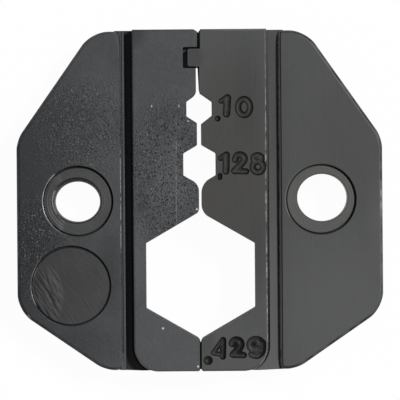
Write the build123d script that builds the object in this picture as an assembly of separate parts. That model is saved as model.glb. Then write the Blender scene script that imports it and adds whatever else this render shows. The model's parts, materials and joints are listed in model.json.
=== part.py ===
"""A pair of crimp die halves with three hexagonal nests, lying side by side as in use.

Millimetres. The halves meet on the plane X = 0, +Y points to the tab end and +Z out of the marked faces.
The origin lies on the resting plane, under the middle of the pair.
Both halves are drawn with the meeting face on x = 0 and the body towards +x, and one is then mirrored.
"""

import os
from math import radians, tan

from build123d import *

# Mounting flange: the thin plate that the jaw of a crimp tool takes
FLANGE_THICKNESS = 5.5
FLANGE_WIDTH = 10.45
FLANGE_INSET = 0.12
FLANGE_CORNER_RADIUS = 3.2
FLANGE_EDGE_RADIUS = 0.35

# Sloping ends of the flange, measured from its top and bottom edges. Flat is what is left straight
# of such an edge between its two rounded corners.
TOP_SLOPE_DEGREES = 55
TOP_FLAT = 0.6
BOTTOM_SLOPE_DEGREES = 34.5
BOTTOM_FLAT = 0.15

# Crimping pad: the thick block that carries the nests and stands above the flange on both faces
PAD_RISE = 2.0
PAD_WALL = 1.25
PAD_FOOT_RADIUS = 2.45
PAD_MOUTH_CHAMFER = 0.2
PAD_EDGE_BREAK = 0.12

# Groove between the pad and the flange, on both faces
GROOVE_WIDTH = 1.15
GROOVE_DEPTH = 0.6
GROOVE_END_INSET = 0.05
GROOVE_END_RADIUS = 0.6

# Screw hole at mid height of the flange, with a shallow spot face round it on both faces. The hole
# of the slotted half is the narrower one, with the wider chamfer where it opens into a spot face.
HOLE_TO_EDGE = 6.13
TABBED_HOLE_DIAMETER = 5.0
TABBED_HOLE_CHAMFER = 0.08
SLOTTED_HOLE_DIAMETER = 4.5
SLOTTED_HOLE_CHAMFER = 0.15
SPOT_DIAMETER = 7.05
SPOT_DEPTH = 0.45

# Round sunk field on the front of the slotted half, below the screw hole and further out
FIELD_OUTSET = 0.75
FIELD_DROP = 8.47
FIELD_DIAMETER = 8.0
FIELD_DEPTH = 0.15

# Nests. Flats is the width between the two upright sides, height is from point to point, and slope is
# the angle of the sloping sides. Lip is the radius where these run out into the meeting face.
SMALL_NEST_FLATS = 2.54
SMALL_NEST_HEIGHT = 3.2
SMALL_NEST_SLOPE_DEGREES = 35
SMALL_NEST_LIP = 0.1
MIDDLE_NEST_FLATS = 3.25
MIDDLE_NEST_HEIGHT = 4.12
MIDDLE_NEST_SLOPE_DEGREES = 30
MIDDLE_NEST_LIP = 0.2
LARGE_NEST_FLATS = 10.9
LARGE_NEST_HEIGHT = 12.85
LARGE_NEST_SLOPE_DEGREES = 30
LARGE_NEST_LIP = 0.7
NEST_CORNER_RADIUS = 0.2

# Stretches of the meeting face, from the tab end down
HEAD_LAND = 1.95
TAB_WIDTH = 1.75
FACE_UNDER_TAB = 2.54
FACE_UNDER_SMALL_NEST = 1.94
FACE_UNDER_MIDDLE_NEST = 2.71
FOOT_LAND = 3.06

# The halves meet on the head and foot lands. Between them the faces stand back, which leaves a slit
# from nest to nest: how far, under the tab, under the small nest and under the middle nest.
SLOTTED_FACE_RELIEFS = (0.33, 0.22, 0.12)
TABBED_FACE_RELIEFS = (0.05, 0.18, 0.18)

# A thin layer of the pad at each face is relieved, so that a narrow line shows between the halves:
# its lands stand back, and its slot is larger than the tab
RIM_DEPTH = 1.5
HEAD_LAND_RELIEF = 0.15
FOOT_LAND_RELIEF = 0.1
TAB_LENGTH = 1.1
TAB_TIP_RADIUS = 0.2
TAB_ROOT_RADIUS = 0.25
SLOT_CORNER_RADIUS = 0.15
RIM_SIDE_GAP = 0.18
RIM_END_GAP = 0.48

# Between these layers the tab and the slot are smaller, and fit with little play
CORE_INSET = 0.15
CORE_SIDE_GAP = 0.05
CORE_FACE_GAP = 0.05
CORE_END_GAP = 0.1

PAD_THICKNESS = FLANGE_THICKNESS + 2 * PAD_RISE
PAD_WIDTH = LARGE_NEST_FLATS / 2 + PAD_WALL
GROOVE_REACH = PAD_WIDTH + GROOVE_WIDTH
FLANGE_REACH = GROOVE_REACH + FLANGE_WIDTH
HOLE_REACH = FLANGE_REACH - HOLE_TO_EDGE

PAD_HEIGHT = (
    HEAD_LAND
    + TAB_WIDTH
    + FACE_UNDER_TAB
    + SMALL_NEST_HEIGHT
    + FACE_UNDER_SMALL_NEST
    + MIDDLE_NEST_HEIGHT
    + FACE_UNDER_MIDDLE_NEST
    + LARGE_NEST_HEIGHT
    + FOOT_LAND
)
PAD_TOP = PAD_HEIGHT / 2
FLANGE_TOP = PAD_TOP - FLANGE_INSET
GROOVE_TOP = PAD_TOP - GROOVE_END_INSET
TAB_TOP = PAD_TOP - HEAD_LAND
TAB_BOTTOM = TAB_TOP - TAB_WIDTH
SMALL_NEST_TOP = TAB_BOTTOM - FACE_UNDER_TAB
MIDDLE_NEST_TOP = SMALL_NEST_TOP - SMALL_NEST_HEIGHT - FACE_UNDER_SMALL_NEST
LARGE_NEST_TOP = MIDDLE_NEST_TOP - MIDDLE_NEST_HEIGHT - FACE_UNDER_MIDDLE_NEST

# Upper point, flats, height, slope and lip radius of each nest
NESTS = [
    (SMALL_NEST_TOP, SMALL_NEST_FLATS, SMALL_NEST_HEIGHT, SMALL_NEST_SLOPE_DEGREES, SMALL_NEST_LIP),
    (MIDDLE_NEST_TOP, MIDDLE_NEST_FLATS, MIDDLE_NEST_HEIGHT, MIDDLE_NEST_SLOPE_DEGREES, MIDDLE_NEST_LIP),
    (LARGE_NEST_TOP, LARGE_NEST_FLATS, LARGE_NEST_HEIGHT, LARGE_NEST_SLOPE_DEGREES, LARGE_NEST_LIP),
]
NEST_MIDDLES = [top - height / 2 for top, _, height, _, _ in NESTS]


def area(left, right, bottom, top):
    """A rectangle between two places on x and two on y."""
    return Pos((left + right) / 2, (bottom + top) / 2) * Rectangle(right - left, top - bottom)


def round_corner(profile, x, y, radius):
    """The profile with its corner nearest to (x, y) rounded."""
    corner = profile.vertices().sort_by_distance((x, y, 0))[0]
    return fillet(corner, radius)


def half_nest(top, flats, height, slope_degrees):
    """One half of a hexagon that stands on a point, with its cut side on the meeting face."""
    depth = flats / 2
    bottom = top - height
    rise = depth * tan(radians(slope_degrees))
    outline = Polyline((0, top), (depth, top - rise), (depth, bottom + rise), (0, bottom), close=True)
    nest = make_face(outline)
    nest = round_corner(nest, depth, top - rise, NEST_CORNER_RADIUS)
    return round_corner(nest, depth, bottom + rise, NEST_CORNER_RADIUS)


def all_half_nests():
    """The three half nests as one sketch."""
    nests = Sketch()
    for top, flats, height, slope_degrees, _ in NESTS:
        nests += half_nest(top, flats, height, slope_degrees)
    return nests


def pad_profile(reliefs, is_rim):
    """The pad seen from the front: rounded foot, relieved meeting face and three half nests."""
    profile = area(0, PAD_WIDTH, -PAD_TOP, PAD_TOP)
    profile = round_corner(profile, PAD_WIDTH, -PAD_TOP, PAD_FOOT_RADIUS)
    for y in (PAD_TOP, -PAD_TOP):
        mouth = profile.vertices().sort_by_distance((0, y, 0))[0]
        profile = chamfer(mouth, PAD_MOUTH_CHAMFER)
    if is_rim:
        profile -= area(0, HEAD_LAND_RELIEF, TAB_BOTTOM, PAD_TOP)
        profile -= area(0, FOOT_LAND_RELIEF, -PAD_TOP, NEST_MIDDLES[-1])
    for relief, bottom, top in zip(reliefs, NEST_MIDDLES, [TAB_BOTTOM] + NEST_MIDDLES):
        profile -= area(0, relief, bottom, top)
    profile -= all_half_nests()
    for relief, (top, _, height, _, lip) in zip(reliefs, NESTS):
        profile = round_corner(profile, relief, top, lip)
        profile = round_corner(profile, 0, top - height, lip)
    return profile


def with_tab(profile, length, inset):
    """The pad profile with the tab that reaches over the meeting face."""
    top, bottom = TAB_TOP - inset, TAB_BOTTOM + inset
    tab = area(-length, PAD_WALL, bottom, top)
    tab = round_corner(tab, -length, top, TAB_TIP_RADIUS)
    tab = round_corner(tab, -length, bottom, TAB_TIP_RADIUS)
    return profile + tab


def with_slot(profile, depth, gap):
    """The pad profile with the slot that the other half's tab enters."""
    top, bottom = TAB_TOP + gap, TAB_BOTTOM - gap
    slot = area(0, depth, bottom, top)
    slot = round_corner(slot, depth, top, SLOT_CORNER_RADIUS)
    slot = round_corner(slot, depth, bottom, SLOT_CORNER_RADIUS)
    return profile - slot


def pad(rim, core, rim_depth):
    """The crimping pad: its core between two rims, with a fine chamfer along its outer wall and ends."""
    block = extrude(rim, rim_depth)
    block += Pos(0, 0, rim_depth) * extrude(core, PAD_THICKNESS - 2 * rim_depth)
    block += Pos(0, 0, PAD_THICKNESS - rim_depth) * extrude(rim, rim_depth)
    levels = block.edges().group_by(Axis.Z)
    outer_side = PAD_WIDTH - PAD_FOOT_RADIUS / 3
    edges = [
        edge
        for edge in levels[0] + levels[-1]
        if edge.center().X > outer_side or abs(edge.center().Y) > PAD_TOP - PAD_MOUTH_CHAMFER
    ]
    return chamfer(edges, PAD_EDGE_BREAK)


def tabbed_pad():
    """The pad with the tab."""
    rim = with_tab(pad_profile(TABBED_FACE_RELIEFS, True), TAB_LENGTH, 0)
    rim = round_corner(rim, HEAD_LAND_RELIEF, TAB_TOP, TAB_ROOT_RADIUS)
    core = with_tab(pad_profile(TABBED_FACE_RELIEFS, False), TAB_LENGTH - CORE_INSET, CORE_INSET)
    return pad(rim, core, RIM_DEPTH - CORE_FACE_GAP)


def slotted_pad():
    """The pad with the slot."""
    rim = with_slot(pad_profile(SLOTTED_FACE_RELIEFS, True), TAB_LENGTH + RIM_END_GAP, RIM_SIDE_GAP)
    rim = round_corner(rim, HEAD_LAND_RELIEF, TAB_TOP + RIM_SIDE_GAP, TAB_ROOT_RADIUS)
    core = with_slot(
        pad_profile(SLOTTED_FACE_RELIEFS, False),
        TAB_LENGTH - CORE_INSET + CORE_END_GAP,
        CORE_SIDE_GAP - CORE_INSET,
    )
    return pad(rim, core, RIM_DEPTH)


def web():
    """The floor of both grooves, which joins the pad to the flange."""
    inner = PAD_WIDTH - PAD_FOOT_RADIUS
    outer = GROOVE_REACH + GROOVE_END_RADIUS
    floor = area(inner, outer, -GROOVE_TOP, GROOVE_TOP) - all_half_nests()
    return Pos(0, 0, PAD_RISE + GROOVE_DEPTH) * extrude(floor, FLANGE_THICKNESS - 2 * GROOVE_DEPTH)


def sloping_end(degrees, flat):
    """Where a sloping end of the flange starts on x, and how far on y it reaches at the outer edge."""
    rounding = FLANGE_CORNER_RADIUS * tan(radians(degrees / 2))
    start = GROOVE_REACH + GROOVE_END_RADIUS + flat + rounding
    return start, (FLANGE_REACH - start) * tan(radians(degrees))


def flange():
    """The flange plate outside the groove, with two sloping ends and rounded edges."""
    top_start, top_drop = sloping_end(TOP_SLOPE_DEGREES, TOP_FLAT)
    bottom_start, bottom_rise = sloping_end(BOTTOM_SLOPE_DEGREES, BOTTOM_FLAT)
    corners = [
        (top_start, FLANGE_TOP),
        (FLANGE_REACH, FLANGE_TOP - top_drop),
        (FLANGE_REACH, bottom_rise - FLANGE_TOP),
        (bottom_start, -FLANGE_TOP),
    ]
    inner_corners = [(GROOVE_REACH, -FLANGE_TOP), (GROOVE_REACH, FLANGE_TOP)]
    outline = make_face(Polyline(*corners, *inner_corners, close=True))
    for x, y in corners:
        outline = round_corner(outline, x, y, FLANGE_CORNER_RADIUS)
    for x, y in inner_corners:
        outline = round_corner(outline, x, y, GROOVE_END_RADIUS)
    plate = extrude(outline, FLANGE_THICKNESS)
    faces = plate.faces().sort_by(Axis.Z)
    plate = fillet(faces[0].edges() + faces[-1].edges(), FLANGE_EDGE_RADIUS)
    return Pos(0, 0, PAD_RISE) * plate


def screw_hole(diameter, rim):
    """What the screw hole, its two chamfered rims and its two spot faces take out of the flange."""
    radius = diameter / 2
    floor = FLANGE_THICKNESS / 2 - SPOT_DEPTH
    clear = FLANGE_THICKNESS / 2 + SPOT_DEPTH
    outline = Polyline(
        (0, 0),
        (radius, 0),
        (radius, floor - rim),
        (radius + rim, floor),
        (SPOT_DIAMETER / 2, floor),
        (SPOT_DIAMETER / 2, clear),
        (0, clear),
        close=True,
    )
    front = revolve(Plane.XZ * make_face(outline), axis=Axis.Z)
    both = front + mirror(front, about=Plane.XY)
    return Pos(HOLE_REACH, 0, PAD_RISE + FLANGE_THICKNESS / 2) * both


def sunk_field():
    """What the round field takes out of the front of the flange."""
    centre = Pos(HOLE_REACH + FIELD_OUTSET, -FIELD_DROP, PAD_RISE + FLANGE_THICKNESS)
    return centre * Cylinder(FIELD_DIAMETER / 2, 2 * FIELD_DEPTH)


def die_half(crimping_pad, hole):
    """Pad, groove floors and flange in one solid, with the screw hole through it."""
    return crimping_pad + web() + flange() - hole


right_die_half = die_half(tabbed_pad(), screw_hole(TABBED_HOLE_DIAMETER, TABBED_HOLE_CHAMFER))
slotted_half = die_half(slotted_pad(), screw_hole(SLOTTED_HOLE_DIAMETER, SLOTTED_HOLE_CHAMFER))
left_die_half = mirror(slotted_half - sunk_field(), about=Plane.YZ)

os.makedirs("parts", exist_ok=True)
export_step(right_die_half, "parts/right_die_half.step")
export_step(left_die_half, "parts/left_die_half.step")
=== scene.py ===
"""A pair of blackened steel crimp die halves, lying closed on a white table and seen from straight above.

Each half is modelled in millimetres with its body towards +X, then put on its side of the frame in metres.
"""
import json
from math import cos, pi, radians, sin, tan

import bpy
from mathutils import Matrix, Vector


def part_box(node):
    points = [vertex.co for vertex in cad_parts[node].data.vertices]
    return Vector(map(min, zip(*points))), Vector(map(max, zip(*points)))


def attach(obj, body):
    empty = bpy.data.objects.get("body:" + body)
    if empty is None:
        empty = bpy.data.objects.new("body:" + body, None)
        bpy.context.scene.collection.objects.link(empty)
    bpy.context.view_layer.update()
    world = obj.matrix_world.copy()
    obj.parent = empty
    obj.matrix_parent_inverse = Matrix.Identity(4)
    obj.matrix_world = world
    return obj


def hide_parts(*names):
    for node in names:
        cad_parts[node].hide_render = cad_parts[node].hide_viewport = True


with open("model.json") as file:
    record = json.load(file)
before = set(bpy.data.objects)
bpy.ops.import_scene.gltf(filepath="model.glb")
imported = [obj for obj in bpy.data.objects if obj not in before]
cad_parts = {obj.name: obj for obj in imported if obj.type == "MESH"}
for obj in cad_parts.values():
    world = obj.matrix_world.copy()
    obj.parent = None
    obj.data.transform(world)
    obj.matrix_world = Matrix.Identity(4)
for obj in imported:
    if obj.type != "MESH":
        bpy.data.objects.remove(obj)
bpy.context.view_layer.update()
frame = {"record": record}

MM = 0.001

# Overall sizes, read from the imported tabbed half
half_low, half_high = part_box("right_die_half")
REACH = half_high.x / MM
PAD_TOP = half_high.y / MM
PAD_THICKNESS = half_high.z / MM

# Screw holes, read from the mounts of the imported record
MOUNTS = {mount["name"]: mount for mount in frame["record"]["mounts"]}
TABBED_HOLE_RADIUS = MOUNTS["right_screw_hole"]["dims"]["r_mm"]
SLOTTED_HOLE_RADIUS = MOUNTS["left_screw_hole"]["dims"]["r_mm"]
HOLE_REACH = MOUNTS["right_screw_hole"]["pos_m"][0] / MM

# Pad, groove and flange, in millimetres as in all that follows
PAD_RISE = 2.0
PAD_WIDTH = 6.7
TABBED_PAD_WIDTH = PAD_WIDTH + 0.05
SLOTTED_PAD_WIDTH = PAD_WIDTH - 0.05
PAD_FOOT_RADIUS = 2.45
PAD_MOUTH_CHAMFER = 0.2
PAD_EDGE_BREAK = 0.2
GROOVE_WIDTH = 1.15
GROOVE_DEPTH = 0.6
GROOVE_REACH = PAD_WIDTH + GROOVE_WIDTH
TABBED_FLANGE_START = GROOVE_REACH + 0.05
GROOVE_TOP = PAD_TOP - 0.05
GROOVE_END_RADIUS = 0.6
FLANGE_TOP = PAD_TOP - 0.12
FLANGE_FRONT = PAD_THICKNESS - PAD_RISE
FLANGE_CORNER_RADIUS = 3.2
FLANGE_EDGE_RADIUS = 0.35
FLANGE_INNER_RADIUS = 0.15
FLANGE_INNER_CUTS = (22.5, 45, 67.5)
TOP_SLOPE_DEGREES = 55
TOP_FLAT = 0.6
BOTTOM_SLOPE_DEGREES = 34.5
BOTTOM_FLAT = 0.15

# Spot faces round the screw holes, and the sunk field on the front of the slotted half
SPOT_RADIUS = 3.525
SPOT_DEPTH = 0.45
HOLE_RIM_DEPTH = 0.65
HOLE_EDGE_BREAK = 0.07
ROUND_SIDES = 128
FIELD_REACH = HOLE_REACH + 0.75
FIELD_DROP = 8.47
FIELD_RADIUS = 4.0
FIELD_DEPTH = 0.15

# The screw holes are slightly oval. Each has a rim at both faces and a throat between them: half width,
# half length, and the centre's shift on x and y.
TABBED_RIM = (TABBED_HOLE_RADIUS + 0.04, TABBED_HOLE_RADIUS - 0.1, 0.11, 0.18)
TABBED_THROAT = (TABBED_HOLE_RADIUS, TABBED_HOLE_RADIUS - 0.14, 0.11, 0.18)
SLOTTED_RIM = (SLOTTED_HOLE_RADIUS + 0.18, SLOTTED_HOLE_RADIUS + 0.02, 0.12, 0.06)
SLOTTED_THROAT = (SLOTTED_HOLE_RADIUS, SLOTTED_HOLE_RADIUS - 0.24, 0.07, -0.05)

# A fine channel runs round each front spot face and round the sunk field, with its inner edge broken.
# It is wider on one side, because what it leaves standing is a little out of centre. Its cutter stays a
# lip away from the recess's wall and reaches a little above the floor.
ROUND_CHANNEL_LIP = 0.01
ROUND_CHANNEL_TOP = 0.02
ROUND_CHANNEL_WIDTH = 0.13
ROUND_CHANNEL_DEPTH = 0.3
ROUND_CHANNEL_BREAK = 0.07
TABBED_CHANNEL_SHIFT = (-0.06, 0.02)
SLOTTED_CHANNEL_SHIFT = (0.02, -0.03)

# Spot faces and sunk field flare out at the flange's face, a little out of centre too
FLARE = 0.07
TABBED_FLARE_SHIFT = (-0.05, 0.03)
SLOTTED_FLARE_SHIFT = (0.045, -0.02)

# A fine channel runs along the foot of the pad's wall, deeper towards the pad's foot
CHANNEL_WIDTH = 0.2
CHANNEL_DEPTH_AT_TOP = 0.03
CHANNEL_DEPTH_AT_FOOT = 0.5

# The groove floor's lower end, level under the pad and slowly rising from a little inside the pad's wall
TABBED_FLOOR_BOTTOM = -PAD_TOP + 0.01
SLOTTED_FLOOR_BOTTOM = -GROOVE_TOP
FLOOR_RISE_START = 0.8
FLOOR_RISE = 0.045

# A fine cut runs along the flange's inner edge, and on the slotted half a ledge stands in the groove
EDGE_CUT_WIDTH = 0.17
EDGE_CUT_DEPTH = 0.24
TABBED_EDGE_CUT = 0.17
LEDGE_WIDTH = 0.39
LEDGE_DROP = 0.06
LEDGE_TOP_INSET = 0.05
LEDGE_EDGE_RADIUS = 0.08
LEDGE_CUT_END = -15.2

# Tab and slot, narrower in the middle of the pad than in its front and back rims
HEAD_LAND = 1.95
TAB_WIDTH = 1.75
TAB_TOP = PAD_TOP - HEAD_LAND
TAB_BOTTOM = TAB_TOP - TAB_WIDTH
TAB_LENGTH = -half_low.x / MM
TAB_TIP_RADIUS = 0.2
TAB_ROOT_RADIUS = 0.25
TAB_ROOT = 1.25
RIM_DEPTH = 1.5
RIM_SIDE_GAP = 0.18
RIM_END_GAP = 0.48
CORE_INSET = 0.15
CORE_SIDE_GAP = 0.05
CORE_FACE_GAP = 0.05
CORE_END_GAP = 0.1
CORE_OVERLAP = 0.5
SLOT_CORNER_RADIUS = 0.15
HEAD_LAND_RELIEF = 0.15
FOOT_LAND_RELIEF = 0.1

# The slotted half's corner at the top of its head land is cut off on a slant
HEAD_CUT_PLACE = (0.15, PAD_TOP - 0.22, 0)
HEAD_CUT_FACING = (-0.22, 0.37, 0)

# Nests: upper point, width over the upright sides, height, and slopes of the upper and lower sides
TABBED_NESTS = [(10.82, 2.54, 3.38, 35, 38), (5.68, 3.25, 4.12, 30, 30), (-1.15, 11.06, 12.85, 30, 30)]
SLOTTED_NESTS = [(10.86, 2.54, 3.3, 35, 33), (5.68, 3.25, 4.12, 30, 30), (-1.15, 10.9, 12.85, 30, 30)]
NEST_MIDDLES = [top - height / 2 for top, _, height, _, _ in TABBED_NESTS]
NEST_CORNER_RADIUS = 0.2

# How far the meeting faces stand back under the tab, the small nest and the middle nest
TABBED_FACE_RELIEFS = (0.05, 0.18, 0.18)
SLOTTED_FACE_RELIEFS = (0.29, 0.22, 0.06)

# Rounding of each nest's upper and lower lip
TABBED_LIPS = [(0.1, 0.1), (0.2, 1.5), (1.3, 0.7)]
SLOTTED_LIPS = [(0.8, 0.1), (0.2, 1.1), (0.6, 0.7)]

# Between the rims, the tabbed half's face under the tab leans over the meeting plane, down to a little
# above the small nest. The block that it is cut from reaches into the pad and into the tab.
LEAN_AT_TAB = 0.12
LEAN_AT_NEST = 0.01
LEAN_END = 0.12
LEAN_REACH = 0.5
LEAN_INTO_TAB = 0.3

# Cutters reach this far past the face that they cut
CLEAR = 1.0

# Places nearer than this are taken as the same
NEAR = 0.01

# Finished shape: points nearer than this are merged, edges that turn less are shaded smooth, and large
# faces weigh so much in the shading
MERGE_WITHIN = 0.0005
SMOOTH_DEGREES = 35
EVEN_SHADING = 80


def pick_up(piece):
    """Makes one object the only selected and the active one."""
    bpy.ops.object.select_all(action="DESELECT")
    piece.select_set(True)
    bpy.context.view_layer.objects.active = piece


def new_object(name, data):
    """Puts a new object with this data in the scene."""
    piece = bpy.data.objects.new(name, data)
    bpy.context.scene.collection.objects.link(piece)
    return piece


def edit_all(piece):
    """Opens one object in edit mode with everything selected."""
    pick_up(piece)
    bpy.ops.object.mode_set(mode="EDIT")
    bpy.ops.mesh.select_all(action="SELECT")


def block(low, high):
    """A rectangular block between two corners."""
    bpy.ops.object.select_all(action="DESELECT")
    size = [b - a for a, b in zip(low, high)]
    middle = [(a + b) / 2 for a, b in zip(low, high)]
    bpy.ops.mesh.primitive_cube_add(size=1, location=middle, scale=size)
    bpy.ops.object.transform_apply(location=True, rotation=False, scale=True)
    return bpy.context.object


def select_edges(piece, wanted):
    """Selects the edges for which wanted(end, other end) is true, and opens edit mode on them."""
    pick_up(piece)
    bpy.ops.object.mode_set(mode="EDIT")
    bpy.ops.mesh.select_mode(type="EDGE")
    bpy.ops.mesh.select_all(action="DESELECT")
    bpy.ops.object.mode_set(mode="OBJECT")
    points = [vertex.co for vertex in piece.data.vertices]
    for edge in piece.data.edges:
        edge.select = wanted(*(points[i] for i in edge.vertices))
    bpy.ops.object.mode_set(mode="EDIT")


def bevel(piece, wanted, offset, segments):
    """Rounds the wanted edges, or chamfers them where segments is 1."""
    select_edges(piece, wanted)
    bpy.ops.mesh.bevel(offset=offset, segments=segments, profile=0.5, clamp_overlap=True)
    bpy.ops.object.mode_set(mode="OBJECT")


def upright_at(x, y, reach=0.03):
    """A test for upright edges that stand at one place."""
    def wanted(a, b):
        upright = abs(a.x - b.x) < reach and abs(a.y - b.y) < reach
        return upright and abs(a.x - x) < reach and abs(a.y - y) < reach
    return wanted


def trim(piece, point, outward):
    """Cuts away what lies outside a plane and closes the cut."""
    edit_all(piece)
    facing = Vector(outward).normalized()
    bpy.ops.mesh.bisect(plane_co=point, plane_no=facing, use_fill=True, clear_outer=True, threshold=1e-5)
    bpy.ops.object.mode_set(mode="OBJECT")


def apply_modifier(piece, kind, **settings):
    """Changes a piece by one modifier."""
    modifier = piece.modifiers.new("change", kind)
    for name, value in settings.items():
        setattr(modifier, name, value)
    pick_up(piece)
    bpy.ops.object.modifier_apply(modifier=modifier.name)


def join(piece, other, operation="UNION"):
    """Joins another piece to this one and uses it up."""
    settings = {"operation": operation, "solver": "EXACT", "material_mode": "TRANSFER", "object": other}
    apply_modifier(piece, "BOOLEAN", **settings)
    bpy.data.objects.remove(other)


def cut(piece, cutter, steel=None):
    """Cuts another piece out of this one and uses it up. The cut faces can have a steel of their own."""
    if steel:
        cutter.data.materials.append(steel)
    join(piece, cutter, "DIFFERENCE")


def tangent(radius, turn_degrees):
    """How far a rounding of this radius reaches along each side of a corner that turns so much."""
    return radius * tan(radians(turn_degrees / 2))


def ring_body(x, y, rings):
    """A body on an upright axis, by rings: half width, half length, centre's shift on x and y, height."""
    bpy.ops.object.select_all(action="DESELECT")
    wide, long, right, up, height = rings[0]
    bpy.ops.mesh.primitive_circle_add(vertices=ROUND_SIDES, radius=1, fill_type="NGON")
    edit_all(bpy.context.object)
    bpy.ops.transform.resize(value=(wide, long, 1), center_override=(0, 0, 0))
    bpy.ops.transform.translate(value=(x + right, y + up, height))
    for new_wide, new_long, new_right, new_up, new_height in rings[1:]:
        move = (new_right - right, new_up - up, new_height - height)
        bpy.ops.mesh.extrude_region_move(TRANSFORM_OT_translate={"value": move})
        share = (new_wide / wide, new_long / long, 1)
        wide, long, right, up, height = new_wide, new_long, new_right, new_up, new_height
        bpy.ops.transform.resize(value=share, center_override=(x + right, y + up, height))
    bpy.ops.mesh.select_all(action="SELECT")
    bpy.ops.mesh.normals_make_consistent(inside=False)
    bpy.ops.object.mode_set(mode="OBJECT")
    return bpy.context.object


def pad_block(width):
    """The crimping pad before its nests: rounded foot, chamfered mouths and broken outer edges."""
    pad = block((0, -PAD_TOP, 0), (width, PAD_TOP, PAD_THICKNESS))
    bevel(pad, upright_at(width, -PAD_TOP), PAD_FOOT_RADIUS, segments=16)
    for y in (-PAD_TOP, PAD_TOP):
        bevel(pad, upright_at(0, y), PAD_MOUTH_CHAMFER, segments=1)

    def outer_rim(a, b):
        level = abs(a.z - b.z) < NEAR
        meeting_face = a.x < NEAR and b.x < NEAR
        return level and not meeting_face

    bevel(pad, outer_rim, PAD_EDGE_BREAK, segments=2)
    return pad


def web_block(pad_width, bottom, groove_floor):
    """The floor of both grooves, with the fine channel along the pad in the front one."""
    inner = pad_width - PAD_FOOT_RADIUS
    depth = PAD_RISE + GROOVE_DEPTH
    floor = PAD_THICKNESS - depth
    web = block((inner, bottom, depth), (GROOVE_REACH + GROOVE_END_RADIUS, GROOVE_TOP, floor))
    web.data.materials.append(groove_floor)
    trim(web, (pad_width - FLOOR_RISE_START, bottom, 0), (FLOOR_RISE, -1, 0))
    low = (0, -PAD_TOP - CHANNEL_WIDTH, floor - CHANNEL_DEPTH_AT_FOOT)
    channel = block(low, (pad_width + CHANNEL_WIDTH, PAD_TOP + CLEAR, floor + CLEAR))
    foot = upright_at(pad_width + CHANNEL_WIDTH, low[1])
    bevel(channel, foot, PAD_FOOT_RADIUS + CHANNEL_WIDTH, segments=16)
    fall = (CHANNEL_DEPTH_AT_FOOT - CHANNEL_DEPTH_AT_TOP) / (2 * PAD_TOP)
    trim(channel, (0, -PAD_TOP, low[2]), (0, fall, -1))
    cut(web, channel)
    return web


def sloping_end(degrees, flat):
    """Where a sloping end of the flange starts on x, and how far on y it reaches at the outer edge."""
    start = GROOVE_REACH + GROOVE_END_RADIUS + flat + tangent(FLANGE_CORNER_RADIUS, degrees)
    return start, (REACH - start) * tan(radians(degrees))


def flange_plate(start):
    """The flange: a plate with two sloping ends, rounded corners and rounded edges."""
    plate = block((start, -FLANGE_TOP, PAD_RISE), (REACH, FLANGE_TOP, FLANGE_FRONT))
    top_start, top_drop = sloping_end(TOP_SLOPE_DEGREES, TOP_FLAT)
    bottom_start, bottom_rise = sloping_end(BOTTOM_SLOPE_DEGREES, BOTTOM_FLAT)
    top, bottom = radians(TOP_SLOPE_DEGREES), radians(BOTTOM_SLOPE_DEGREES)
    trim(plate, (top_start, FLANGE_TOP, 0), (sin(top), cos(top), 0))
    trim(plate, (bottom_start, -FLANGE_TOP, 0), (sin(bottom), -cos(bottom), 0))
    corners = [
        (top_start, FLANGE_TOP, TOP_SLOPE_DEGREES),
        (REACH, FLANGE_TOP - top_drop, 90 - TOP_SLOPE_DEGREES),
        (REACH, bottom_rise - FLANGE_TOP, 90 - BOTTOM_SLOPE_DEGREES),
        (bottom_start, -FLANGE_TOP, BOTTOM_SLOPE_DEGREES),
    ]
    for x, y, turn in corners:
        bevel(plate, upright_at(x, y), tangent(FLANGE_CORNER_RADIUS, turn), segments=14)
    for y in (-FLANGE_TOP, FLANGE_TOP):
        bevel(plate, upright_at(start, y), GROOVE_END_RADIUS, segments=8)

    def rim(a, b):
        inner = a.x < start + NEAR and b.x < start + NEAR
        return abs(a.z - b.z) < NEAR and not inner

    bevel(plate, rim, FLANGE_EDGE_RADIUS, segments=5)
    middle_x = start + FLANGE_INNER_RADIUS
    for middle_z, side in ((FLANGE_FRONT - FLANGE_INNER_RADIUS, 1), (PAD_RISE + FLANGE_INNER_RADIUS, -1)):
        for degrees in FLANGE_INNER_CUTS:
            outward = Vector((-sin(radians(degrees)), 0, side * cos(radians(degrees))))
            trim(plate, Vector((middle_x, 0, middle_z)) + outward * FLANGE_INNER_RADIUS, outward)
    return plate


def ledge():
    """The narrow ledge that stands in the slotted half's groove, a fine cut away from the flange."""
    low = (GROOVE_REACH - LEDGE_WIDTH, -FLANGE_TOP, PAD_RISE + GROOVE_DEPTH)
    high = (GROOVE_REACH + EDGE_CUT_WIDTH, GROOVE_TOP - LEDGE_TOP_INSET, FLANGE_FRONT - LEDGE_DROP)
    strip = block(low, high)

    def front_edge(a, b):
        at_groove = a.x < low[0] + NEAR and b.x < low[0] + NEAR
        return at_groove and min(a.z, b.z) > high[2] - NEAR

    bevel(strip, front_edge, LEDGE_EDGE_RADIUS, segments=2)
    cut_low = (GROOVE_REACH - EDGE_CUT_WIDTH, LEDGE_CUT_END, FLANGE_FRONT - EDGE_CUT_DEPTH)
    cut(strip, block(cut_low, (GROOVE_REACH + CLEAR, FLANGE_TOP + CLEAR, FLANGE_FRONT + CLEAR)))
    return strip


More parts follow.
